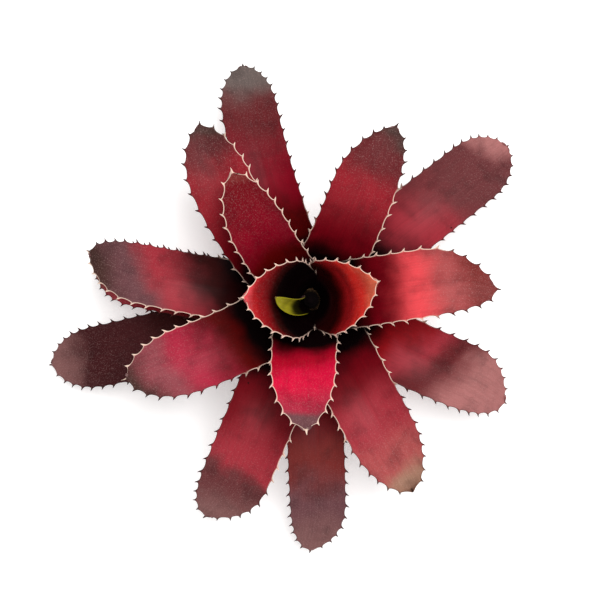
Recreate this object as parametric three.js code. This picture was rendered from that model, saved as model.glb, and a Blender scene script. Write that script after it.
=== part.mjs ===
// A spiny tank bromeliad, lifted from its pot and cut off at the base: a short woody stem, and
// strap leaves that clasp it in a spiral. The youngest leaves stand upright round a water cup in
// the middle. Each older leaf is joined lower on the stem and spreads wider, and the oldest
// droop until their tips are just above the surface that the plant stands on.
//
// Millimetres and degrees, +Z up. The origin is the centre of the stem's flat cut face, which
// the plant stands on.
import * as THREE from "three";

const { cos, sin, sqrt, pow, min, max, atan2, PI } = Math;
const { degToRad, lerp, smoothstep } = THREE.MathUtils;

// ---- The stem ----
const STEM = {
  height: 66,
  cutRadius: 20, // the flat cut face at the bottom
  topRadius: 5,
  taper: 0.8, // under 1 the stem narrows fastest near its foot
  chamfer: 1.5,
  crown: 1, // how far the rounded top stands above the height
  rings: 6,
  sides: 32,
};

// ---- What all leaves share ----
const LEAF = {
  // Where the leaves are joined to the stem
  lowestJoint: 10, // height of the oldest leaf's base
  jointStep: 3, // each younger leaf is joined this much higher
  clearance: 0.5, // between a leaf's base and the stem
  sheathWrap: 50, // how far each side of the base wraps round the stem

  // Thickness at the midrib, where the margins are thin
  oldThickness: 2,
  youngThickness: 1.5,
  taperedBelow: 10, // a leaf thins to its point where its half width is under this

  // Slope of the base, from the youngest leaf to the oldest
  steepestRise: 83,
  shallowestRise: 34,
  riseFalloff: 0.62, // under 1 the slope falls fastest among the young leaves

  // The blade
  sheathEnd: 0.26, // share of the length where the sheath has become the blade
  foot: 1.08, // width at the foot of the blade, as a share of the full width
  footAt: 0.15, // shares of the length where the foot is, and where the full width is
  fullAt: 0.6,
  bladeChannel: 54, // radius of the blade's channelled section
  channelOpens: 0.42, // share of the length where the section has opened to that radius
  tipLength: 54, // length of the rounded end
  tipPower: 0.62, // 0.5 rounds the end as an ellipse, and more makes it pointed
  tipHalfWidth: 0.7,

  // How finely a leaf is made
  around: 12, // facets round a section, top and underside together
  along: 16, // facets along a leaf
  crowding: 1.4, // over 1 the facets are shorter towards the tip, where the outline turns
  substeps: 8, // steps of the midrib's path in each facet
};

const YOUNG_LEAF_COLOR = 0xb01535;
const OLD_LEAF_COLOR = 0x6e2f38;
const LEAF_ROUGHNESS = 0.5;
const STEM_COLOR = 0x6b4a2c;
const STEM_ROUGHNESS = 0.9;

// The leaves from the youngest to the oldest. azimuth and reach place the end of the midrib,
// from the stem's axis as seen from above, and tipSlope is the leaf's slope there, below 0 where
// it droops. bend is how far the leaf's heading turns sideways over its length, and lean moves
// the point of the tip to one side as a share of the half width. Both are positive to the left
// of someone who looks out from the stem. A leaf may have its own rise, the slope of its base, and
// its own channel, foot and tipPower in place of the usual ones. The cup leaves are narrow at the
// foot, deeply channelled and pointed.
const CUP = { channel: 32.5, foot: 0.81, tipPower: 1 };
const LEAVES = [
  { name: "young_leaf", azimuth: 177, reach: 27, width: 20, tipSlope: 64, bend: -75, channel: 6.5 },
  { name: "cup_leaf_left", azimuth: 178, reach: 53, width: 84, tipSlope: 62, ...CUP },
  { name: "cup_leaf_right", azimuth: 15.5, reach: 54, width: 85, tipSlope: 60, bend: 8, ...CUP },
  { name: "inner_leaf_front", azimuth: -92, reach: 102, width: 59, tipSlope: 29, bend: 18 },
  { name: "inner_leaf_back", azimuth: 121.5, reach: 118, width: 56, tipSlope: 22, bend: -24, channel: 34 },
  { name: "middle_leaf_right", azimuth: 8.5, reach: 147, width: 62, tipSlope: 4, lean: -0.45 },
  { name: "middle_leaf_back_right", azimuth: 67, reach: 152, width: 58, tipSlope: 6, bend: 12, lean: -0.3 },
  { name: "middle_leaf_front_left", azimuth: 203, reach: 163, width: 62, tipSlope: -6, bend: -16 },
  { name: "middle_leaf_back_left", azimuth: 122, reach: 168, width: 58, tipSlope: -6, bend: -36 },
  { name: "middle_leaf_front_right", azimuth: -62, reach: 175, width: 63, tipSlope: -14 },
  { name: "outer_leaf_left", azimuth: 170, reach: 189, width: 56, tipSlope: -24, bend: -9, lean: -0.3 },
  { name: "outer_leaf_front_left", azimuth: 247, reach: 202, width: 64, tipSlope: -33, lean: -0.35 },
  { name: "outer_leaf_right", azimuth: -25, reach: 185, width: 63, tipSlope: -33, bend: 12, lean: -0.3 },
  { name: "outer_leaf_back", azimuth: 106, reach: 208, width: 54, tipSlope: -37, bend: -17 },
  { name: "outer_leaf_front", azimuth: -88, reach: 215, width: 54, tipSlope: -38, lean: -0.3 },
  { name: "outer_leaf_back_right", azimuth: 38, reach: 215, width: 62, tipSlope: -37 },
  { name: "outer_leaf_left_under", azimuth: 171, reach: 188, width: 60, tipSlope: -40, bend: -9, rise: 41 },
  { name: "outer_leaf_far_left", azimuth: 194, reach: 232, width: 60, tipSlope: -29, bend: -8, rise: 27 },
];

const unit = (slope, heading) =>
  new THREE.Vector3(cos(slope) * cos(heading), cos(slope) * sin(heading), sin(slope));

const stemRadius = (z) => lerp(STEM.cutRadius, STEM.topRadius, pow(z / STEM.height, STEM.taper));

// The midrib from base to tip as a frame for each station: its point, the direction across the
// leaf and its upward normal.
function midrib(leaf, stations) {
  const heading = (t) => degToRad(leaf.bend) * t;
  const slope = (t) => degToRad(lerp(leaf.rise, leaf.tipSlope, smoothstep(t, 0, 1)));
  const point = new THREE.Vector3();
  const frames = stations.map((t, i) => {
    const from = i > 0 ? stations[i - 1] : t;
    for (let k = 0; k < LEAF.substeps; k++) {
      const middle = lerp(from, t, (k + 0.5) / LEAF.substeps);
      point.addScaledVector(unit(slope(middle), heading(middle)), (t - from) / LEAF.substeps);
    }
    const across = new THREE.Vector3(-sin(heading(t)), cos(heading(t)), 0);
    const up = unit(slope(t), heading(t)).cross(across);
    return { t, point: point.clone(), across, up };
  });

  // The midrib now has length 1. Its real length puts the tip at the leaf's reach, and the
  // whole leaf then turns until the tip is at its azimuth.
  const start = stemRadius(leaf.joint) + LEAF.clearance + leaf.thickness / 2;
  const flat = pow(point.x, 2) + pow(point.y, 2);
  const side = start * point.x;
  const length = (sqrt(side * side + flat * (pow(leaf.reach, 2) - start * start)) - side) / flat;
  const tipAzimuth = atan2(length * point.y, start + length * point.x);
  const base = new THREE.Vector3(start, 0, leaf.joint);
  for (const frame of frames) frame.point.multiplyScalar(length).add(base);
  return { frames, length, turn: degToRad(leaf.azimuth) - tipAzimuth };
}

// How far into the rounded end a share t of the length is, from 0 where it begins to 1 at the tip.
const intoTip = (t, length) => max(0, 1 - ((1 - t) * length) / LEAF.tipLength);

// Half the leaf's width at a share t of its length: a sheath that clasps the stem, the foot of the
// blade, the full width past the middle, and a rounded end with a point.
function halfWidth(leaf, length, t) {
  const blade = (leaf.width / 2) * lerp(leaf.foot, 1, smoothstep(t, LEAF.footAt, LEAF.fullAt));
  const width = lerp(leaf.sheathHalf, blade, smoothstep(t, 0, LEAF.sheathEnd));
  const rounding = pow(1 - pow(intoTip(t, length), 2), leaf.tipPower);
  return max(LEAF.tipHalfWidth, width * rounding);
}

// A leaf is a cylinder flattened to a lens section: its height runs along the midrib, and each
// ring is laid across it on an arc, the channel of the leaf.
function leafMesh(leaf) {
  const share = Array.from({ length: LEAF.along + 1 }, (_, i) => i / LEAF.along);
  const stations = share.map((s) => 1 - pow(1 - s, LEAF.crowding));
  const { frames, length, turn } = midrib(leaf, stations);
  const tube = new THREE.CylinderGeometry(1, 1, 1, LEAF.around, LEAF.along);
  const place = tube.getAttribute("position");
  for (let i = 0; i < place.count; i++) {
    const { t, point, across, up } = frames[Math.round((place.getY(i) + 0.5) * LEAF.along)];
    const half = halfWidth(leaf, length, t);
    const open = smoothstep(t, 0, LEAF.channelOpens);
    const channel = lerp(leaf.baseChannel, leaf.channel, open);
    const angle = (-place.getX(i) * half) / channel;
    const raise = (leaf.thickness / 2) * place.getZ(i) * min(1, half / LEAF.taperedBelow);
    const radius = channel - raise;
    const lean = (leaf.lean * leaf.width * pow(intoTip(t, length), 2)) / 2;
    const laid = point
      .clone()
      .addScaledVector(across, radius * sin(angle) + lean)
      .addScaledVector(up, channel - radius * cos(angle));
    place.setXYZ(i, laid.x, laid.y, laid.z);
  }
  const mesh = new THREE.Mesh(tube, leafMaterial(leaf.age));
  mesh.name = leaf.name;
  mesh.rotation.z = turn;
  return mesh;
}

// Young leaves are bright crimson, and old ones darker and greyer.
function leafMaterial(age) {
  const color = new THREE.Color(YOUNG_LEAF_COLOR).lerp(new THREE.Color(OLD_LEAF_COLOR), age);
  return new THREE.MeshStandardMaterial({ color, roughness: LEAF_ROUGHNESS, metalness: 0 });
}

function stemMesh() {
  const foot = new THREE.Vector2(STEM.cutRadius - STEM.chamfer, 0);
  const profile = [new THREE.Vector2(0, 0), foot];
  for (let i = 0; i <= STEM.rings; i++) {
    const z = lerp(STEM.chamfer, STEM.height, i / STEM.rings);
    profile.push(new THREE.Vector2(stemRadius(z), z));
  }
  profile.push(new THREE.Vector2(0, STEM.height + STEM.crown));
  const geometry = new THREE.LatheGeometry(profile, STEM.sides).rotateX(PI / 2);
  const material = new THREE.MeshStandardMaterial({
    color: STEM_COLOR,
    roughness: STEM_ROUGHNESS,
    metalness: 0,
  });
  const mesh = new THREE.Mesh(geometry, material);
  mesh.name = "stem";
  return mesh;
}

// A leaf with what follows from its place in the spiral, how old it is and how its base meets the
// stem, and with the usual values where it has none of its own.
function grown(leaf, order) {
  const age = order / (LEAVES.length - 1);
  const joint = LEAF.lowestJoint + (LEAVES.length - 1 - order) * LEAF.jointStep;
  const thickness = lerp(LEAF.youngThickness, LEAF.oldThickness, age);
  const baseChannel = stemRadius(joint) + LEAF.clearance + thickness;
  const rise = lerp(LEAF.steepestRise, LEAF.shallowestRise, pow(age, LEAF.riseFalloff));
  const sheathHalf = baseChannel * degToRad(LEAF.sheathWrap);
  const usual = { bend: 0, lean: 0, channel: LEAF.bladeChannel, foot: LEAF.foot, tipPower: LEAF.tipPower };
  return { age, joint, thickness, baseChannel, rise, sheathHalf, ...usual, ...leaf };
}

const bromeliad = new THREE.Group();
bromeliad.add(stemMesh(), ...LEAVES.map(grown).map(leafMesh));

export default bromeliad;
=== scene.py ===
import random
from math import atan2, cos, pi, sin

import bmesh
import bpy
import numpy as np
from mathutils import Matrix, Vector, noise


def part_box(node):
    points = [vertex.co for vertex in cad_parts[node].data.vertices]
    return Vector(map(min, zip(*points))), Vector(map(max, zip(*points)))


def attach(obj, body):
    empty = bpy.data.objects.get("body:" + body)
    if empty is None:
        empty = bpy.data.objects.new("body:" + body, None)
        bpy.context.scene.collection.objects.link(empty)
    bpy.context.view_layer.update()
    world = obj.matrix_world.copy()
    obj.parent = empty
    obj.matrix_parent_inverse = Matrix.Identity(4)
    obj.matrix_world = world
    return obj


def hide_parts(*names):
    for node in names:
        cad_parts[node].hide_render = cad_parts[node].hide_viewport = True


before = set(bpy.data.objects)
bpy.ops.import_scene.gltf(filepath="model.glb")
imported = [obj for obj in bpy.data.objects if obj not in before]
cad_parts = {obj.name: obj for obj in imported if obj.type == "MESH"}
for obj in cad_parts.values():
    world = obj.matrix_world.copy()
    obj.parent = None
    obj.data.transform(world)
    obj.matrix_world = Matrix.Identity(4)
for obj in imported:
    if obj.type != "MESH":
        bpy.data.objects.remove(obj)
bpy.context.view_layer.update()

bl_info = {
    "name": "Spiny Bromeliad",
    "version": (1, 0, 0),
    "blender": (4, 5, 0),
    "location": "View3D > Sidebar > Bromeliad",
    "description": "Finishes a bromeliad's leaves and stem round its packed model",
    "category": "Add Mesh",
}

BODY = "root"
MM = 0.001

# The leaves of each group, from the youngest to the oldest.
CUP_LEAVES = ("cup_leaf_left", "cup_leaf_right")
INNER_LEAVES = ("inner_leaf_front", "inner_leaf_back")
MIDDLE_LEAVES = (
    "middle_leaf_right",
    "middle_leaf_back_right",
    "middle_leaf_front_left",
    "middle_leaf_back_left",
    "middle_leaf_front_right",
)
OUTER_LEAVES = (
    "outer_leaf_left",
    "outer_leaf_front_left",
    "outer_leaf_right",
    "outer_leaf_back",
    "outer_leaf_front",
    "outer_leaf_back_right",
    "outer_leaf_left_under",
    "outer_leaf_far_left",
)


def linear(hex_color):
    """A hex sRGB colour as the linear RGBA that Blender's colour sockets take."""
    channels = [int(hex_color[i : i + 2], 16) / 255 for i in (0, 2, 4)]
    return tuple(c / 12.92 if c <= 0.04045 else ((c + 0.055) / 1.055) ** 2.4 for c in channels) + (1.0,)


LIGHT = 1.25  # how much the studio light brightens a level surface
VEIL = 0.006  # what gloss and scales add to each channel of a leaf's colour


def skin(hex_color):
    """The colour of a leaf that looks like the hex sRGB colour under the studio light."""
    return tuple(max(0.0006, c / LIGHT - VEIL) for c in linear(hex_color)[:3]) + (1.0,)


# Leaf colours, from the black of the cup to the dusty ends. The black low on the leaves is partly their own
# dark sheath colour and partly painted shade of the rosette's deep centre; the pale ends are partly grey
# scales and partly painted sheen
PIGMENT_AND_SHADE_BLACK = linear("060001")
EMBER = skin("34080b")
OXBLOOD = skin("5a0c16")
GARNET = skin("70151e")
RUBY = skin("861226")
CARDINAL = skin("961a20")
BRICK = skin("94262f")
ROSEWOOD = skin("a2343e")
RASPBERRY = skin("ac2c42")
SCARLET = skin("b82428")
CARMINE = skin("b00e2c")
CRIMSON = skin("d81a40")
CORAL = skin("e84e54")
FLAME = skin("e4342e")
GLOW = skin("ff7c5c")
OLD_ROSE = skin("ac5050")
MAUVE_ROSE = skin("92464e")
DUSTY_PINK = skin("ac6e6c")
RUSSET = skin("7a302e")
WINE_BROWN = skin("66282b")
DUSK = skin("6a3638")
NIGHT = skin("421e20")
MAUVE = skin("6e464a")
ASH_ROSE = skin("845a58")
ASH = skin("685c58")
UMBER = skin("48302c")
STRAW = skin("a57c68")
OLIVE = skin("30300f")
MOSS = skin("a8a42a")

# Both margins pale right to the end
ALL_PALE = (1.5, 1.5)


def blade(colors, stops, pale, wave=0.9, skew=0.0, cupped=0.0):
    """What a leaf looks like: its four colours from the lower blade to the end; the shares of its
    length where the black of the sheath ends, a black that is partly painted shade of the deep
    centre, and where each colour is reached; the shares up to which its left and its right margin
    are pale; how far its margins wave, in millimetres; how far its colours run ahead on its left
    side; and how far its end is cupped, in millimetres."""
    return {"colors": colors, "stops": stops, "pale": pale, "wave": wave, "skew": skew, "cupped": cupped}


FINISH = {
    "young_leaf": blade((OLIVE, MOSS, MOSS, MOSS), (0.3, 0.5, 0.72, 0.85, 1.0), ALL_PALE, wave=0.0),
    "cup_leaf_left": blade((EMBER, CARDINAL, SCARLET, CORAL), (0.5, 0.62, 0.82, 0.91, 0.99), ALL_PALE, 0.5),
    # Painted light: this upright leaf's colours are lightened to make up for the light it misses
    "cup_leaf_right": blade((EMBER, SCARLET, FLAME, GLOW), (0.15, 0.36, 0.62, 0.8, 0.97), ALL_PALE, 0.5),
    "inner_leaf_front": blade(
        (CARMINE, CRIMSON, RASPBERRY, MAUVE), (0.41, 0.56, 0.68, 0.87, 0.96), ALL_PALE, 0.6
    ),
    "inner_leaf_back": blade(
        (OXBLOOD, RUBY, GARNET, RUSSET), (0.28, 0.42, 0.62, 0.9, 0.99), ALL_PALE, 1.0
    ),
    "middle_leaf_right": blade(
        (GARNET, CORAL, OLD_ROSE, RUSSET), (0.3, 0.44, 0.62, 0.78, 0.92), (0.78, 0.7)
    ),
    "middle_leaf_back_right": blade(
        (GARNET, BRICK, WINE_BROWN, UMBER), (0.26, 0.4, 0.7, 0.88, 0.97), (0.45, 0.74)
    ),
    "middle_leaf_front_left": blade(
        (OXBLOOD, RASPBERRY, MAUVE_ROSE, UMBER), (0.37, 0.51, 0.7, 0.82, 0.97), (0.5, 1.5), skew=0.05
    ),
    "middle_leaf_back_left": blade(
        (GARNET, BRICK, WINE_BROWN, UMBER), (0.28, 0.42, 0.74, 0.88, 0.97), (0.4, 0.93)
    ),
    "middle_leaf_front_right": blade(
        (GARNET, ROSEWOOD, OLD_ROSE, STRAW), (0.28, 0.42, 0.66, 0.86, 0.96), (0.55, 0.68), cupped=6.0
    ),
    "outer_leaf_left": blade(
        (EMBER, ROSEWOOD, MAUVE, UMBER), (0.28, 0.42, 0.64, 0.8, 0.97), (1.5, 0.42), 1.0, 0.08
    ),
    "outer_leaf_front_left": blade(
        (GARNET, ROSEWOOD, DUSK, ASH_ROSE), (0.28, 0.44, 0.69, 0.78, 0.97), (0.72, 0.35), 1.0
    ),
    "outer_leaf_right": blade(
        (CARDINAL, ROSEWOOD, WINE_BROWN, DUSTY_PINK), (0.24, 0.38, 0.5, 0.62, 0.8), (0.5, 0.35), 1.0, -0.08
    ),
    "outer_leaf_back": blade(
        (OXBLOOD, RUBY, WINE_BROWN, ASH), (0.18, 0.28, 0.5, 0.74, 0.94), (0.3, 0.35)
    ),
    "outer_leaf_front": blade(
        (GARNET, RUSSET, MAUVE, ASH_ROSE), (0.3, 0.42, 0.58, 0.74, 0.97), (0.4, 0.4)
    ),
    "outer_leaf_back_right": blade(
        (ROSEWOOD, DUSK, DUSK, DUSTY_PINK), (0.24, 0.42, 0.68, 0.86, 0.98), (0.5, 0.4), 1.0, 0.06
    ),
    "outer_leaf_left_under": blade(
        (OXBLOOD, BRICK, ROSEWOOD, RUSSET), (0.3, 0.42, 0.6, 0.8, 0.95), (0.3, 0.3), 1.0
    ),
    "outer_leaf_far_left": blade(
        (EMBER, NIGHT, NIGHT, ASH_ROSE), (0.3, 0.44, 0.6, 0.82, 0.97), (0.4, 0.4), 1.0
    ),
}


# ---- What a user can change ----
class LeafShape(bpy.types.PropertyGroup):
    """The sizes that all leaves share"""

    thickness: bpy.props.FloatProperty(
        name="Thickness", description="Thickness at the midrib", default=1.9 * MM, unit="LENGTH"
    )
    spine_length: bpy.props.FloatProperty(
        name="Spine length",
        description="How far a marginal spine stands out",
        default=2.8 * MM,
        unit="LENGTH",
    )
    spine_gap: bpy.props.FloatProperty(
        name="Spine gap",
        description="Distance from one marginal spine to the next",
        default=11.5 * MM,
        unit="LENGTH",
    )
    scallop: bpy.props.FloatProperty(
        name="Scallop",
        description="How far the margin dips between two spines",
        default=1.4 * MM,
        unit="LENGTH",
    )
    tip_length: bpy.props.FloatProperty(
        name="Tip point",
        description="Length of the sharp point at a leaf's end",
        default=4 * MM,
        unit="LENGTH",
    )


class LeafColors(bpy.types.PropertyGroup):
    """The colours that all leaves share"""

    cream: bpy.props.FloatVectorProperty(
        name="Pale margin",
        description="Margin of the young leaves",
        default=linear("e2c6b4"),
        size=4,
        subtype="COLOR",
    )
    thorn: bpy.props.FloatVectorProperty(
        name="Thorn",
        description="Spines of the old leaves",
        default=linear("2c1512"),
        size=4,
        subtype="COLOR",
    )
    speckle: bpy.props.FloatVectorProperty(
        name="Speckle",
        description="The fine pale scales on a leaf",
        default=linear("d9b3ad"),
        size=4,
        subtype="COLOR",
    )
    underside: bpy.props.FloatVectorProperty(
        name="Underside",
        description="Underside of a leaf",
        default=linear("6f4a4c"),
        size=4,
        subtype="COLOR",
    )


class StemFinish(bpy.types.PropertyGroup):
    """The stem's colours"""

    bark: bpy.props.FloatVectorProperty(
        name="Bark",
        description="The fibrous side",
        default=linear("4a3220"),
        size=4,
        subtype="COLOR",
    )
    pith: bpy.props.FloatVectorProperty(
        name="Pith", description="The cut face", default=linear("c9b48c"), size=4, subtype="COLOR"
    )


class StageSettings(bpy.types.PropertyGroup):
    """Floor, light and camera"""

    floor: bpy.props.FloatVectorProperty(
        name="Floor",
        description="Colour of the floor",
        default=linear("f6f5f4"),
        size=4,
        subtype="COLOR",
    )
    sky: bpy.props.FloatProperty(name="Sky", description="Strength of the even light all round", default=0.75)
    lamp: bpy.props.FloatProperty(
        name="Lamp", description="Power of the soft lamp overhead", default=26, unit="POWER"
    )
    camera_height: bpy.props.FloatProperty(
        name="Camera height",
        description="Height of the camera above the floor",
        default=1.3,
        unit="LENGTH",
    )
    lens: bpy.props.FloatProperty(name="Lens", description="Focal length", default=90, unit="CAMERA")


# ---- Reading a leaf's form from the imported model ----
def catmull_rom(points, s):
    """The smooth curve through points, at the parameters s, which count the points from 0."""
    padded = np.vstack([2 * points[0] - points[1], points, 2 * points[-1] - points[-2]])
    i = np.clip(s.astype(int), 0, len(points) - 2)
    f = (s - i)[:, None]
    a, b, c, d = padded[i], padded[i + 1], padded[i + 2], padded[i + 3]
    return b + 0.5 * f * (c - a + f * (2 * a - 5 * b + 4 * c - d + f * (3 * (b - c) + d - a)))


def leaf_rings(bm):
    """The rings of vertices round a leaf's solid, from the base to the tip, each in order."""
    caps = [v for v in bm.verts if len(v.link_edges) > 8]
    layers = [{max(caps, key=lambda v: v.co.xy.length)}]
    while layers[-1]:
        beyond = {e.other_vert(v) for v in layers[-1] for e in v.link_edges}
        layers.append(beyond - layers[-1].union(*layers[-2:-1]))
    base_cap = layers[-3] | layers[-2]
    bmesh.ops.dissolve_faces(bm, faces=[f for f in bm.faces if base_cap.issuperset(f.verts)])
    rings = []
    for layer in reversed(layers[1:-2]):
        ring = [next(iter(layer))]
        while len(ring) < len(layer):
            beside = [e.other_vert(ring[-1]) for e in ring[-1].link_edges]
            ring.append(next(v for v in beside if v in layer and v not in ring[-2:]))
        rings.append([np.array(v.co) for v in ring])
    return rings


def section_points(ring, inward):
    """One margin of a ring, the other, and the middle of its upper side."""
    count = len(ring)
    i = max(range(count // 2), key=lambda k: np.linalg.norm(ring[k] - ring[k + count // 2]))
    quarter = count // 4
    tops = (ring[(i + quarter) % count], ring[(i - quarter) % count])
    return ring[i], ring[i + count // 2], max(tops, key=lambda p: np.dot(p, inward))


class LeafForm:
    """The upper surface of a packed leaf, as the arcs across it from its base to its tip."""

    DENSE = 40  # samples of the form between two stations

    def __init__(self, node):
        bm = bmesh.new()
        bm.from_mesh(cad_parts[node].data)
        bmesh.ops.remove_doubles(bm, verts=bm.verts, dist=0.005 * MM)
        rings = leaf_rings(bm)
        bm.free()

        centres = np.array([np.mean(ring, axis=0) for ring in rings])
        along = np.gradient(centres, axis=0)
        leftward = np.cross((0, 0, 1), centres * (1, 1, 0))
        left, right, rib, up = [], [], [], []
        for ring, forward, side in zip(rings, along, leftward):
            one, other, _ = section_points(ring, forward)
            if np.dot(one - other, side) < 0:
                one, other = other, one
            inward = np.cross(forward, one - other)
            left.append(one)
            right.append(other)
            rib.append(section_points(ring, inward)[2])
            up.append(inward / np.linalg.norm(inward))
        self.left, self.right, self.rib, self.up = map(np.array, (left, right, rib, up))
        self.s = np.linspace(0, len(rib) - 1, (len(rib) - 1) * self.DENSE + 1)
        path = catmull_rom(rib, self.s)
        steps = np.linalg.norm(np.diff(path, axis=0), axis=1)
        self.distance = np.concatenate([[0], np.cumsum(steps)])
        self.length = self.distance[-1]
        self.half = self.section(self.distance)[3]

    def section(self, x):
        """The arcs at the distances x along the midrib: each one's middle, its directions across
        and up, its half width, its half angle and its depth."""
        s = np.interp(x, self.distance, self.s)
        left, right = catmull_rom(self.left, s), catmull_rom(self.right, s)
        up = catmull_rom(self.up, s)
        up /= np.linalg.norm(up, axis=1)[:, None]
        middle = (left + right) / 2
        across = (left - right) / 2
        chord = np.linalg.norm(across, axis=1)
        depth = np.maximum(1e-6, -np.sum((catmull_rom(self.rib, s) - middle) * up, axis=1))
        angle = 2 * np.arctan2(depth, chord)
        return middle, across / chord[:, None], up, angle * chord / np.sin(angle), angle, depth

    def point(self, x, share):
        """Points on the surface, at distances x along the midrib and at shares of the half width."""
        middle, across, up, half, angle, depth = self.section(x)
        radius = half / angle
        side = radius * np.sin(angle * share)
        drop = depth - radius * (1 - np.cos(angle * share))
        return middle + across * side[:, None] - up * drop[:, None]


# ---- A leaf's outline and its spines ----
# The rows of the mesh beside a spine, behind it and in front of it: each one's distance from the
# spine's middle in metres, and how far it stands out and is swept towards the tip, as shares of
# the spine's length.
SPINE_ROWS = (
    (-2.6 * MM, 0.05, 0.0),
    (-1.6 * MM, 0.17, 0.0),
    (-0.9 * MM, 0.38, 0.06),
    (-0.4 * MM, 0.68, 0.24),
    (0.0, 1.0, 0.62),
    (0.25 * MM, 0.42, 0.16),
    (0.7 * MM, 0.1, 0.03),
)
BARE_ROWS = 4  # rows between two spines' own rows
COLUMNS = (0, 0.08, 0.25, 0.44, 0.62, 0.78, 0.9, 0.965, 1)  # shares of the half width

BARE_SHARE = 0.2  # the share of a leaf, from its base, that has no spines
LEAST_INSET = 0.5 * MM  # of a margin without spines, and the length of such a leaf's point
WAVE_LENGTH = 45 * MM
RIPPLE_LENGTH = 12 * MM
RIPPLE_HEIGHT = 0.18 * MM
CUPPED_LENGTH = 34 * MM  # how far from the end a leaf's cupping reaches
GROOVE_DEPTH = 0.35 * MM  # of the midrib
GROOVE_WIDTH = 0.07  # as a share of the half width
MARGIN_THINNING = 0.74  # how much thinner a leaf is at its margins
SPINE_THINNING = 0.55  # how much thinner a spine is than the margin


def smooth(x, low, high):
    """0 up to low, 1 from high, and a smooth step between."""
    t = np.clip((x - low) / (high - low), 0, 1)
    return t * t * (3 - 2 * t)


class Margin:
    """One margin of a leaf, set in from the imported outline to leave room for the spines."""

    def __init__(self, form, side, inset):
        self.x = np.linspace(0, form.length - inset, 900)
        ahead = np.interp(self.x + inset, form.distance, form.half)
        blade = ahead * (1 - inset / form.half.max())
        here = np.interp(self.x, form.distance, form.half)
        self.share = blade / here
        self.path = form.point(self.x, side * self.share)
        steps = np.linalg.norm(np.diff(self.path, axis=0), axis=1)
        self.arc = np.concatenate([[0], np.cumsum(steps)])
        tangent = np.gradient(self.path, axis=0)
        self.tangent = tangent / np.linalg.norm(tangent, axis=1)[:, None]
        up = form.section(self.x)[2]
        outward = side * np.cross(up, self.tangent)
        self.outward = outward / np.linalg.norm(outward, axis=1)[:, None]

    def at(self, place, vectors):
        """Vectors given all along the margin, read at some places."""
        return np.stack([np.interp(place, self.arc, axis) for axis in vectors.T], axis=1)


def margin_rows(margin, start, count, rng, shape, spiny):
    """The rows of one margin: for each, its place along the margin, how far it stands out as a
    spine, how far it is swept towards the tip, and how far the scallop dips there."""
    total = margin.arc[-1]
    gaps = np.array([(1.0 - 0.25 * k / count) * rng.uniform(0.87, 1.13) for k in range(count)])
    sites = start + (total - start) * np.cumsum(gaps) / gaps.sum()
    sites[-1] = total
    sheath_rows = max(4, int(start / (4 * MM)))
    rows = [(start * k / sheath_rows, 0, 0) for k in range(sheath_rows)]
    previous = start
    for k, site in enumerate(sites):
        grown = float(smooth(site / total, 0.1, 0.5))
        corner = float(smooth(site / total, 0.75, 0.95))
        size = spiny * shape.spine_length * (0.5 + 0.5 * grown) * rng.uniform(0.85, 1.1)
        last = k == count - 1
        own = ((-0.8 * MM, 0, 0),) if last else SPINE_ROWS
        first = site + own[0][0]
        for r in range(BARE_ROWS):
            share = r / BARE_ROWS if k == 0 else (r + 1) / (BARE_ROWS + 1)
            rows.append((previous + (first - previous) * share, 0, 0))
        rows += [(site + offset, size * out, size * sweep * (1 - 0.6 * corner)) for offset, out, sweep in own]
        previous = site + own[-1][0]
    rows.append((total, 0, 0))
    place, out, sweep = np.array(rows).T
    ends = np.concatenate([[start], sites])
    gap = np.clip(np.searchsorted(ends, place, side="right") - 1, 0, count - 1)
    within = np.clip((place - ends[gap]) / (ends[gap + 1] - ends[gap]), 0, 1)
    depth = shape.scallop * spiny * (0.4 + 0.6 * smooth(place / total, 0.55, 0.9))
    depth *= (ends[gap + 1] - ends[gap]) / shape.spine_gap
    dip = -4 * depth * within * (1 - within)
    dip[place < start] = 0
    return place, out, sweep, dip


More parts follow.
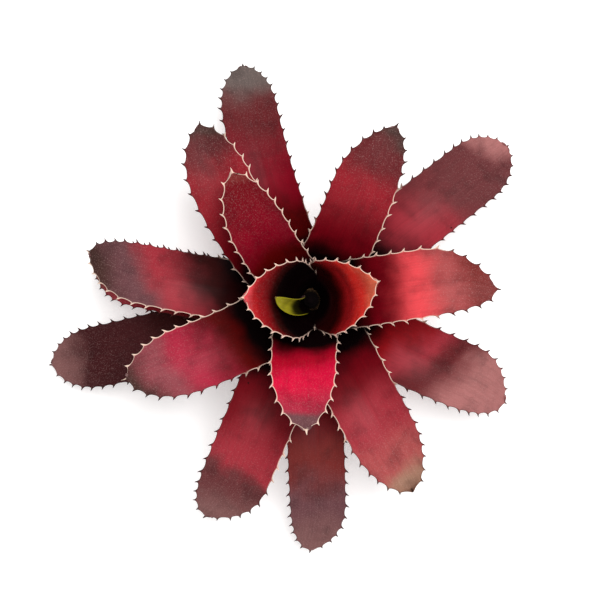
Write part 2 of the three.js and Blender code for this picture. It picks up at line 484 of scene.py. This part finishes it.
def leaf_sheet(node, rng, spiny=1.0):
    """A leaf's upper sheet as rows of points from base to tip, with what its materials read."""
    shape = bpy.context.scene.bromeliad_shape
    finish = FINISH[node]
    form = LeafForm(node)
    inset = spiny * shape.spine_length
    tip_length = shape.tip_length if spiny else LEAST_INSET
    margins = {side: Margin(form, side, max(inset, LEAST_INSET)) for side in (-1, 1)}
    start = BARE_SHARE * form.length
    run = min(m.arc[-1] for m in margins.values()) - start
    count = max(4, round(run / shape.spine_gap))
    rows = {s: margin_rows(m, start, count, rng, shape, spiny) for s, m in margins.items()}
    shares = np.array([-c for c in reversed(COLUMNS[1:])] + list(COLUMNS))
    x_side = {s: np.interp(rows[s][0], margins[s].arc, margins[s].x) for s in margins}
    seed = Vector((rng.uniform(0, 50), rng.uniform(0, 50), rng.uniform(0, 50)))
    columns = []
    lengths = []
    for share in shares:
        blend = smooth(share, -1.0, 1.0)
        x = x_side[-1] * (1 - blend) + x_side[1] * blend
        k = np.interp(x, margins[1].x, margins[1].share)
        at = form.point(x, share * k)
        up = form.section(x)[2]
        tipward = smooth(x, form.length - CUPPED_LENGTH, form.length)
        lift = finish["cupped"] * MM * share * share * tipward
        for i in range(len(x)):
            spot = seed + Vector((share * 0.6, x[i] / WAVE_LENGTH, 0))
            ripple = noise.noise(spot) * finish["wave"] * MM * (0.3 + share * share)
            fine = noise.noise(seed + Vector((share * 3, x[i] / RIPPLE_LENGTH, 7))) * RIPPLE_HEIGHT
            at[i] += up[i] * (lift[i] + (ripple + fine) * min(1, 3 * x[i] / form.length))
        # The midrib lies in a shallow groove.
        groove = GROOVE_DEPTH * np.exp(-((share / GROOVE_WIDTH) ** 2))
        at -= up * (groove * (1 - tipward))[:, None]
        side = 1 if share >= 0 else -1
        margin = margins[side]
        place, out, sweep, dip = rows[side]
        outward = margin.at(place, margin.outward)
        tipwards = margin.at(place, margin.tangent)
        at += outward * (dip * smooth(abs(share), 0.5, 1.0))[:, None]
        if abs(share) == 1:
            at += outward * out[:, None] + tipwards * sweep[:, None]
        columns.append(at)
        lengths.append(x)
    grid = np.stack(columns, axis=1)
    along = np.stack(lengths, axis=1)

    # Two more rows draw the end out to a sharp point.
    last = grid[-1]
    centre = last[len(shares) // 2]
    ahead = centre - grid[-4][len(shares) // 2]
    ahead /= np.linalg.norm(ahead)
    points = [centre + (last - centre) * w + ahead * tip_length * f for f, w in ((0.45, 0.5), (1, 0.06))]
    grid = np.concatenate([grid, np.array(points)])
    along = np.concatenate([along, along[-1:] + tip_length * 0.45, along[-1:] + tip_length])

    # What the materials read: the share of the length, the distance from the margin and the
    # spines' mask.
    spine = np.zeros(grid.shape[:2])
    for side, column in ((-1, 0), (1, -1)):
        out = rows[side][1]
        spine[: len(out), column] = np.clip(out / (0.35 * shape.spine_length), 0, 1)
    spine[-2] = 0.6
    spine[-1] = 1
    width = np.linalg.norm(grid[:, -1] - grid[:, 0], axis=1) / 2
    margin = width[:, None] * (1 - np.abs(shares))[None, :]
    left_over = np.maximum(0, along.max() - tip_length - along)
    margin = np.minimum(margin, 0.6 * left_over)
    across = width[:, None] * shares[None, :]
    return {
        "grid": grid,
        "shares": shares,
        "along": along,
        "share_along": np.clip(along / (form.length - inset), 0, 1),
        "margin": margin,
        "spine": spine,
        "cross": np.tile(shares, (len(grid), 1)),
        "across": across,
        "up": form.up[len(form.up) // 2],
    }


def leaf_object(node, rng, spiny=1.0):
    """The finished leaf: a grid laid on its sheet, thickened downward to thin margins."""
    shape = bpy.context.scene.bromeliad_shape
    sheet = leaf_sheet(node, rng, spiny)
    rows, columns = sheet["grid"].shape[:2]
    bm = bmesh.new()
    bmesh.ops.create_grid(bm, x_segments=columns - 1, y_segments=rows - 1, size=1)
    verts = sorted(bm.verts, key=lambda v: (round(v.co.y, 6), round(v.co.x, 6)))
    uv = bm.loops.layers.uv.new("Leaf")
    place = {}
    for i, vert in enumerate(verts):
        row, column = divmod(i, columns)
        vert.co = sheet["grid"][row, column]
        place[vert] = (row, column)
    for face in bm.faces:
        for loop in face.loops:
            row, column = place[loop.vert]
            loop[uv].uv = (0.5 + sheet["across"][row, column], sheet["along"][row, column])
    bm.normal_update()
    centre = Vector(sheet["grid"][rows // 2, columns // 2])
    middle = min(bm.faces, key=lambda f: (f.calc_center_median() - centre).length)
    if middle.normal.dot(Vector(sheet["up"])) < 0:
        bmesh.ops.reverse_faces(bm, faces=bm.faces)
    for vert, (row, column) in place.items():
        vert.index = row * columns + column
    bm.verts.sort()
    mesh = bpy.data.meshes.new(node + "_blade")
    bm.to_mesh(mesh)
    bm.free()
    for name in ("share_along", "cross", "margin", "spine"):
        attribute = mesh.attributes.new(name, "FLOAT", "POINT")
        attribute.data.foreach_set("value", sheet[name].ravel().astype(np.float32))
    mesh.polygons.foreach_set("use_smooth", [True] * len(mesh.polygons))
    leaf = bpy.data.objects.new(node + "_blade", mesh)
    bpy.context.scene.collection.objects.link(leaf)

    # Full thickness along the middle, thin margins and thinner spines
    group = leaf.vertex_groups.new(name="thickness")
    share = 1 - MARGIN_THINNING * np.abs(sheet["shares"]) ** 3
    share_rows = np.tile(share, (rows, 1)) * (1 - SPINE_THINNING * sheet["spine"])
    share_rows[-2] = 0.3
    share_rows[-1] = 0.1
    for i, value in enumerate(share_rows.ravel()):
        group.add([i], float(value), "REPLACE")
    solid = leaf.modifiers.new("Thickness", "SOLIDIFY")
    solid.thickness = shape.thickness
    solid.offset = -1
    solid.vertex_group = "thickness"
    solid.material_offset = 1
    solid.material_offset_rim = 0
    return leaf


# ---- Materials ----
def new_group(name, inputs, outputs):
    """An empty shader node group with the named sockets."""
    group = bpy.data.node_groups.new(name, "ShaderNodeTree")
    for direction, sockets in (("INPUT", inputs), ("OUTPUT", outputs)):
        for socket_name, kind, default in sockets:
            kind = "NodeSocket" + kind
            socket = group.interface.new_socket(socket_name, in_out=direction, socket_type=kind)
            if default is not None:
                socket.default_value = default
    return group


class Wiring:
    """Adds nodes to a tree and joins them."""

    def __init__(self, tree):
        self.tree = tree

    def node(self, kind, **settings):
        node = self.tree.nodes.new("ShaderNode" + kind)
        for key, value in settings.items():
            setattr(node, key, value)
        return node

    def put(self, value, socket):
        if isinstance(value, bpy.types.NodeSocket):
            self.tree.links.new(value, socket)
        elif value is not None:
            socket.default_value = value

    def math(self, operation, a, b=None, clamp=False):
        node = self.node("Math", operation=operation, use_clamp=clamp)
        self.put(a, node.inputs[0])
        self.put(b, node.inputs[1])
        return node.outputs[0]

    def ramp(self, value, low, high, out_low=0.0, out_high=1.0):
        """A smooth step of value from low to high."""
        node = self.node("MapRange", interpolation_type="SMOOTHSTEP")
        self.put(value, node.inputs["Value"])
        self.put(low, node.inputs["From Min"])
        self.put(high, node.inputs["From Max"])
        self.put(out_low, node.inputs["To Min"])
        self.put(out_high, node.inputs["To Max"])
        return node.outputs["Result"]

    def mix(self, factor, a, b, blend="MIX"):
        node = self.node("Mix", data_type="RGBA", blend_type=blend)
        self.put(factor, node.inputs["Factor"])
        self.put(a, node.inputs["A"])
        self.put(b, node.inputs["B"])
        return node.outputs["Result"]

    def noise(self, vector, scale, detail=2.0):
        node = self.node("TexNoise")
        self.put(vector, node.inputs["Vector"])
        self.put(scale, node.inputs["Scale"])
        self.put(detail, node.inputs["Detail"])
        return node.outputs["Fac"]

    def scaled(self, vector, scale):
        node = self.node("VectorMath", operation="MULTIPLY")
        self.put(vector, node.inputs[0])
        self.put(scale, node.inputs[1])
        return node.outputs[0]

    def attribute(self, name):
        return self.node("Attribute", attribute_type="GEOMETRY", attribute_name=name).outputs["Fac"]


def leaf_skin_group():
    """A leaf's skin: colours from sheath to tip, mottling, pale scales, pale or dark margins."""
    if "Leaf Skin" in bpy.data.node_groups:
        return bpy.data.node_groups["Leaf Skin"]
    group = new_group(
        "Leaf Skin",
        [
            ("Place", "Vector", None),
            ("Object Place", "Vector", None),
            ("Along", "Float", 0.5),
            ("Cross", "Float", 0.0),
            ("Margin", "Float", 1.0),
            ("Spine", "Float", 0.0),
            ("Sheath", "Color", PIGMENT_AND_SHADE_BLACK),
            ("Low", "Color", GARNET),
            ("Middle", "Color", BRICK),
            ("Far", "Color", DUSK),
            ("End", "Color", UMBER),
            ("Sheath Ends", "Float", 0.3),
            ("Low At", "Float", 0.4),
            ("Middle At", "Float", 0.6),
            ("Far At", "Float", 0.8),
            ("End At", "Float", 0.95),
            ("Skew", "Float", 0.0),
            ("Pale Left", "Float", 0.5),
            ("Pale Right", "Float", 0.5),
            ("Cream", "Color", (0.8, 0.7, 0.6, 1)),
            ("Thorn", "Color", (0.02, 0.01, 0.01, 1)),
            ("Speckle", "Color", (0.6, 0.4, 0.4, 1)),
        ],
        [("Color", "Color", None), ("Roughness", "Float", None), ("Height", "Float", None)],
    )
    w = Wiring(group)
    given = group.nodes.new("NodeGroupInput").outputs
    out = group.nodes.new("NodeGroupOutput").inputs

    patch = w.noise(given["Object Place"], 26.0, 3.0)
    drift = w.math("MULTIPLY", w.math("SUBTRACT", patch, 0.5), 0.24)
    along = w.math("ADD", given["Along"], drift)
    along = w.math("ADD", along, w.math("MULTIPLY", given["Skew"], given["Cross"]))
    # Start from the sheath's black, partly its own colour and partly painted shade of the deep centre
    color = given["Sheath"]
    steps = (("Sheath Ends", "Low At", "Low"), ("Low At", "Middle At", "Middle"))
    steps += (("Middle At", "Far At", "Far"), ("Far At", "End At", "End"))
    for start, reached, shade in steps:
        color = w.mix(w.ramp(along, given[start], given[reached]), color, given[shade])

    # Long streaks along the veins, and soft dark mottling
    streak = w.noise(w.scaled(given["Place"], (700.0, 22.0, 1.0)), 1.0, 3.0)
    color = w.mix(w.ramp(streak, 0.35, 0.75, 0.0, 0.14), color, PIGMENT_AND_SHADE_BLACK)
    mottle = w.noise(given["Object Place"], 60.0, 4.0)
    color = w.mix(w.ramp(mottle, 0.45, 0.75, 0.0, 0.3), color, PIGMENT_AND_SHADE_BLACK)

    # Fine pale scales: single specks, and a grain that is densest towards the tip
    cell = w.node("TexVoronoi", feature="F1")
    w.put(given["Object Place"], cell.inputs["Vector"])
    cell.inputs["Scale"].default_value = 900.0
    chance = w.node("SeparateColor")
    w.put(cell.outputs["Color"], chance.inputs[0])
    dots = w.ramp(cell.outputs["Distance"], 0.38, 0.2)
    speck = w.math("MULTIPLY", dots, w.ramp(chance.outputs[0], 0.7, 0.95))
    grain = w.noise(given["Object Place"], 1100.0, 3.0)
    dense = w.ramp(given["Along"], 0.4, 0.9, 0.02, 0.9)
    dust = w.math("MULTIPLY", w.ramp(grain, 0.5, 0.72, 0.0, 0.45), dense)
    speck = w.math("MAXIMUM", w.math("MULTIPLY", speck, w.math("MULTIPLY", dense, 0.8)), dust)
    color = w.mix(w.math("MULTIPLY", speck, 0.22), color, given["Speckle"])

    # A few dark flecks
    fleck = w.node("TexVoronoi", feature="F1")
    w.put(given["Object Place"], fleck.inputs["Vector"])
    fleck.inputs["Scale"].default_value = 60.0
    rare = w.node("SeparateColor")
    w.put(fleck.outputs["Color"], rare.inputs[0])
    dots = w.ramp(fleck.outputs["Distance"], 0.07, 0.04)
    spot = w.math("MULTIPLY", dots, w.ramp(rare.outputs[0], 0.9, 0.92))
    color = w.mix(w.math("MULTIPLY", spot, 0.85), color, PIGMENT_AND_SHADE_BLACK)

    # The margin: a cream line with cream spines that turns dark towards the end of an old leaf
    edge = w.ramp(given["Margin"], 0.0007, 0.0001)
    until = w.ramp(given["Cross"], -0.2, 0.2, given["Pale Right"], given["Pale Left"])
    dark = w.ramp(given["Along"], w.math("SUBTRACT", until, 0.05), w.math("ADD", until, 0.05))
    rim = w.mix(dark, given["Cream"], given["Thorn"])
    line = w.math("MULTIPLY", edge, w.ramp(dark, 0.0, 1.0, 0.85, 0.45))
    line = w.math("MULTIPLY", line, w.ramp(given["Along"], 0.25, 0.42))
    color = w.mix(line, color, rim)
    color = w.mix(given["Spine"], color, rim)
    w.put(color, out["Color"])

    rough = w.math("ADD", w.math("MULTIPLY", mottle, 0.14), 0.38)
    rough = w.math("ADD", rough, w.math("MULTIPLY", speck, 0.3))
    w.put(rough, out["Roughness"])
    veins = w.math("MULTIPLY", streak, 0.6)
    height = w.math("ADD", veins, w.math("MULTIPLY", speck, 0.35))
    w.put(height, out["Height"])
    return group


def leaf_material(node, underside):
    """The upper or the lower skin of one leaf."""
    colors = bpy.context.scene.bromeliad_colors
    finish = FINISH[node]
    material = bpy.data.materials.new(node + ("_underside" if underside else "_upperside"))
    material.use_nodes = True
    w = Wiring(material.node_tree)
    shader = material.node_tree.nodes["Principled BSDF"]
    surface = w.node("Group", node_tree=leaf_skin_group())
    place = w.node("TexCoord")
    w.put(w.node("UVMap", uv_map="Leaf").outputs[0], surface.inputs["Place"])
    w.put(place.outputs["Object"], surface.inputs["Object Place"])
    w.put(w.attribute("share_along"), surface.inputs["Along"])
    w.put(w.attribute("cross"), surface.inputs["Cross"])
    w.put(w.attribute("margin"), surface.inputs["Margin"])
    w.put(w.attribute("spine"), surface.inputs["Spine"])
    surface.inputs["Sheath"].default_value = PIGMENT_AND_SHADE_BLACK
    for socket, value in zip(("Low", "Middle", "Far", "End"), finish["colors"]):
        surface.inputs[socket].default_value = value
    for socket, value in zip(("Sheath Ends", "Low At", "Middle At", "Far At", "End At"), finish["stops"]):
        surface.inputs[socket].default_value = value
    surface.inputs["Skew"].default_value = finish["skew"]
    for socket, value in zip(("Pale Left", "Pale Right"), finish["pale"]):
        surface.inputs[socket].default_value = value
    # The young leaf's margin is as green as its blade.
    surface.inputs["Cream"].default_value = MOSS if node == "young_leaf" else colors.cream
    surface.inputs["Thorn"].default_value = colors.thorn
    surface.inputs["Speckle"].default_value = colors.speckle
    color = surface.outputs["Color"]
    if underside:
        # Dusty cross bands over a duller colour
        separate = w.node("SeparateXYZ")
        w.put(w.node("UVMap", uv_map="Leaf").outputs[0], separate.inputs[0])
        wander = w.math("MULTIPLY", w.noise(place.outputs["Object"], 40.0, 2.0), 0.02)
        band = w.math("SINE", w.math("MULTIPLY", w.math("ADD", separate.outputs["Y"], wander), 420.0))
        color = w.mix(0.45, color, colors.underside)
        color = w.mix(w.ramp(band, 0.0, 1.0, 0.0, 0.14), color, colors.speckle)
    w.put(color, shader.inputs["Base Color"])
    w.put(surface.outputs["Roughness"], shader.inputs["Roughness"])
    shader.inputs["Specular IOR Level"].default_value = 0.08
    bump = w.node("Bump")
    bump.inputs["Strength"].default_value = 0.35
    bump.inputs["Distance"].default_value = 0.4 * MM
    w.put(surface.outputs["Height"], bump.inputs["Height"])
    w.put(bump.outputs["Normal"], shader.inputs["Normal"])
    return material


def finish_leaf(node, rng, spiny=1.0):
    """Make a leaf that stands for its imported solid, with both its skins."""
    leaf = leaf_object(node, rng, spiny)
    leaf.data.materials.append(leaf_material(node, underside=False))
    leaf.data.materials.append(leaf_material(node, underside=True))
    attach(leaf, BODY)
    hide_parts(node)
    return leaf


# ---- The stem ----
def stem_material():
    """Fibrous bark, darkening to black at the crown as painted shade of the rosette's deep centre, and a pith
    with darker bundles on the cut face.
    """
    finish = bpy.context.scene.bromeliad_stem
    material = bpy.data.materials.new("stem_bark_and_pith")
    material.use_nodes = True
    w = Wiring(material.node_tree)
    shader = material.node_tree.nodes["Principled BSDF"]
    place = w.node("TexCoord").outputs["Object"]
    cut = w.attribute("cut")
    fibre = w.noise(w.scaled(place, (420.0, 420.0, 30.0)), 1.0, 4.0)
    bark = w.mix(w.ramp(fibre, 0.3, 0.75), finish.bark, linear("8a6a48"))
    dots = w.node("TexVoronoi", feature="F1")
    w.put(place, dots.inputs["Vector"])
    dots.inputs["Scale"].default_value = 620.0
    bundle = w.ramp(dots.outputs["Distance"], 0.15, 0.5)
    pith = w.mix(bundle, linear("8a6840"), finish.pith)
    height = w.node("SeparateXYZ")
    w.put(place, height.inputs[0])
    # Painted shade: the bark turns black towards the crown, deep in the rosette
    bark = w.mix(w.ramp(height.outputs["Z"], 0.03, 0.06), bark, PIGMENT_AND_SHADE_BLACK)
    w.put(w.mix(cut, bark, pith), shader.inputs["Base Color"])
    shader.inputs["Roughness"].default_value = 0.95
    shader.inputs["Specular IOR Level"].default_value = 0.1
    bump = w.node("Bump")
    bump.inputs["Strength"].default_value = 0.7
    bump.inputs["Distance"].default_value = 0.8 * MM
    w.put(w.math("ADD", fibre, w.math("MULTIPLY", bundle, 0.4)), bump.inputs["Height"])
    w.put(bump.outputs["Normal"], shader.inputs["Normal"])
    return material


def stem_object():
    """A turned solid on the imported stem's profile, with the scars of shed leaves round it."""
    low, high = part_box("stem")
    foot_radius = (high.x - low.x) / 2
    height = high.z
    crown_radius = 5 * MM
    closing = 0.94  # the share of the height above which the crown closes
    scar_gap = 5 * MM
    scar_depth = 0.5 * MM
    roughness = 0.7 * MM
    bm = bmesh.new()
    bmesh.ops.create_circle(bm, cap_ends=True, radius=foot_radius - 1.5 * MM, segments=72)
    bmesh.ops.inset_individual(bm, faces=bm.faces[:], thickness=1.2 * MM)
    rim = [e for e in bm.edges if e.is_boundary]
    levels = 60
    for i in range(1, levels + 1):
        z = height * i / levels
        moved = bmesh.ops.extrude_edge_only(bm, edges=rim)
        ring = [v for v in moved["geom"] if isinstance(v, bmesh.types.BMVert)]
        rim = [e for e in moved["geom"] if isinstance(e, bmesh.types.BMEdge)]
        share = z / height
        radius = foot_radius + (crown_radius - foot_radius) * share**0.8
        radius += scar_depth * (sin(2 * pi * z / scar_gap) - 1)
        radius *= 1 - max(0, share - closing) / (1 - closing) * 0.6
        for vert in ring:
            angle = atan2(vert.co.y, vert.co.x)
            rough = roughness * noise.noise(Vector((cos(angle) * 4, sin(angle) * 4, z * 90)))
            vert.co = Vector((cos(angle) * (radius + rough), sin(angle) * (radius + rough), z))
    bmesh.ops.holes_fill(bm, edges=rim, sides=0)
    bmesh.ops.recalc_face_normals(bm, faces=bm.faces)
    mesh = bpy.data.meshes.new("stem_body")
    bm.to_mesh(mesh)
    bm.free()
    cut = mesh.attributes.new("cut", "FLOAT", "POINT")
    pith_radius = foot_radius - 2 * MM
    on_pith = [v.co.z < 0.1 * MM and v.co.xy.length < pith_radius for v in mesh.vertices]
    cut.data.foreach_set("value", [float(inside) for inside in on_pith])
    mesh.polygons.foreach_set("use_smooth", [True] * len(mesh.polygons))
    stem = bpy.data.objects.new("stem_body", mesh)
    bpy.context.scene.collection.objects.link(stem)
    stem.data.materials.append(stem_material())
    return stem


# ---- The stage ----
FLOOR_HALF_SIZE = 4
FLOOR_GLOW = 0.25  # lightens the shadows
LAMP_SIZE = 0.9
LAMP_PLACE = (0.25, 0.35, 1.7)
CAMERA_X = -8.8 * MM


# ---- Operators ----
class BROMELIAD_OT_stem(bpy.types.Operator):
    """Make the woody stem"""

    bl_idname = "bromeliad.stem"
    bl_label = "Stem"

    def execute(self, context):
        stem = stem_object()
        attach(stem, BODY)
        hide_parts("stem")
        return {"FINISHED"}


class BROMELIAD_OT_young_leaf(bpy.types.Operator):
    """Make the rolled young leaf in the cup"""

    bl_idname = "bromeliad.young_leaf"
    bl_label = "Young Leaf"

    def execute(self, context):
        finish_leaf("young_leaf", random.Random(1), spiny=0.0)
        return {"FINISHED"}


class BROMELIAD_OT_cup_leaves(bpy.types.Operator):
    """Make the upright leaves round the water cup"""

    bl_idname = "bromeliad.cup_leaves"
    bl_label = "Cup Leaves"

    def execute(self, context):
        rng = random.Random(2)
        for node in CUP_LEAVES:
            finish_leaf(node, rng)
        return {"FINISHED"}


class BROMELIAD_OT_inner_leaves(bpy.types.Operator):
    """Make the bright leaves round the cup"""

    bl_idname = "bromeliad.inner_leaves"
    bl_label = "Inner Leaves"

    def execute(self, context):
        rng = random.Random(3)
        for node in INNER_LEAVES:
            finish_leaf(node, rng)
        return {"FINISHED"}


class BROMELIAD_OT_middle_leaves(bpy.types.Operator):
    """Make the spreading middle leaves"""

    bl_idname = "bromeliad.middle_leaves"
    bl_label = "Middle Leaves"

    def execute(self, context):
        rng = random.Random(4)
        for node in MIDDLE_LEAVES:
            finish_leaf(node, rng)
        return {"FINISHED"}


class BROMELIAD_OT_outer_leaves(bpy.types.Operator):
    """Make the drooping outer leaves"""

    bl_idname = "bromeliad.outer_leaves"
    bl_label = "Outer Leaves"

    def execute(self, context):
        rng = random.Random(5)
        for node in OUTER_LEAVES:
            finish_leaf(node, rng)
        return {"FINISHED"}


class BROMELIAD_OT_stage(bpy.types.Operator):
    """Make the floor, the light and the camera"""

    bl_idname = "bromeliad.stage"
    bl_label = "Stage"

    def execute(self, context):
        settings = context.scene.bromeliad_stage
        scene = context.scene
        scene.view_settings.view_transform = "Standard"

        bm = bmesh.new()
        bmesh.ops.create_grid(bm, x_segments=1, y_segments=1, size=FLOOR_HALF_SIZE)
        mesh = bpy.data.meshes.new("floor")
        bm.to_mesh(mesh)
        bm.free()
        floor = bpy.data.objects.new("floor", mesh)
        scene.collection.objects.link(floor)
        paint = bpy.data.materials.new("floor_paint")
        paint.use_nodes = True
        shader = paint.node_tree.nodes["Principled BSDF"]
        shader.inputs["Base Color"].default_value = settings.floor
        shader.inputs["Roughness"].default_value = 0.9
        shader.inputs["Emission Color"].default_value = (1, 1, 1, 1)
        shader.inputs["Emission Strength"].default_value = FLOOR_GLOW
        mesh.materials.append(paint)

        world = bpy.data.worlds.new("Studio")
        world.use_nodes = True
        world.node_tree.nodes["Background"].inputs["Strength"].default_value = settings.sky
        world.node_tree.nodes["Background"].inputs["Color"].default_value = (1, 1, 1, 1)
        scene.world = world

        lamp_data = bpy.data.lights.new("softbox", "AREA")
        lamp_data.shape = "SQUARE"
        lamp_data.size = LAMP_SIZE
        lamp_data.energy = settings.lamp
        lamp = bpy.data.objects.new("softbox", lamp_data)
        lamp.location = LAMP_PLACE
        lamp.rotation_euler = Vector(lamp.location).to_track_quat("Z", "Y").to_euler()
        scene.collection.objects.link(lamp)

        camera_data = bpy.data.cameras.new("camera")
        camera_data.lens = settings.lens
        camera = bpy.data.objects.new("camera", camera_data)
        camera.location = (CAMERA_X, 0, settings.camera_height)
        scene.collection.objects.link(camera)
        scene.camera = camera
        return {"FINISHED"}


PIECES = (
    BROMELIAD_OT_stem,
    BROMELIAD_OT_young_leaf,
    BROMELIAD_OT_cup_leaves,
    BROMELIAD_OT_inner_leaves,
    BROMELIAD_OT_middle_leaves,
    BROMELIAD_OT_outer_leaves,
    BROMELIAD_OT_stage,
)
SETTINGS = {
    "bromeliad_shape": LeafShape,
    "bromeliad_colors": LeafColors,
    "bromeliad_stem": StemFinish,
    "bromeliad_stage": StageSettings,
}


class BROMELIAD_PT_panel(bpy.types.Panel):
    """Lists the pieces and their settings"""

    bl_idname = "BROMELIAD_PT_panel"
    bl_label = "Bromeliad"
    bl_space_type = "VIEW_3D"
    bl_region_type = "UI"
    bl_category = "Bromeliad"

    def draw(self, context):
        for piece in PIECES:
            self.layout.operator(piece.bl_idname)
        for name in SETTINGS:
            group = getattr(context.scene, name)
            box = self.layout.box()
            for key in group.bl_rna.properties.keys():
                if key not in ("rna_type", "name"):
                    box.prop(group, key)


def register():
    for cls in (*SETTINGS.values(), *PIECES, BROMELIAD_PT_panel):
        bpy.utils.register_class(cls)
    for name, group in SETTINGS.items():
        setattr(bpy.types.Scene, name, bpy.props.PointerProperty(type=group))


def unregister():
    for name in SETTINGS:
        delattr(bpy.types.Scene, name)
    for cls in reversed((*SETTINGS.values(), *PIECES, BROMELIAD_PT_panel)):
        bpy.utils.unregister_class(cls)


def main():
    register()
    bpy.ops.bromeliad.stage()
    bpy.ops.bromeliad.stem()
    bpy.ops.bromeliad.young_leaf()
    bpy.ops.bromeliad.cup_leaves()
    bpy.ops.bromeliad.inner_leaves()
    bpy.ops.bromeliad.middle_leaves()
    bpy.ops.bromeliad.outer_leaves()


if __name__ == "__main__":
    main()
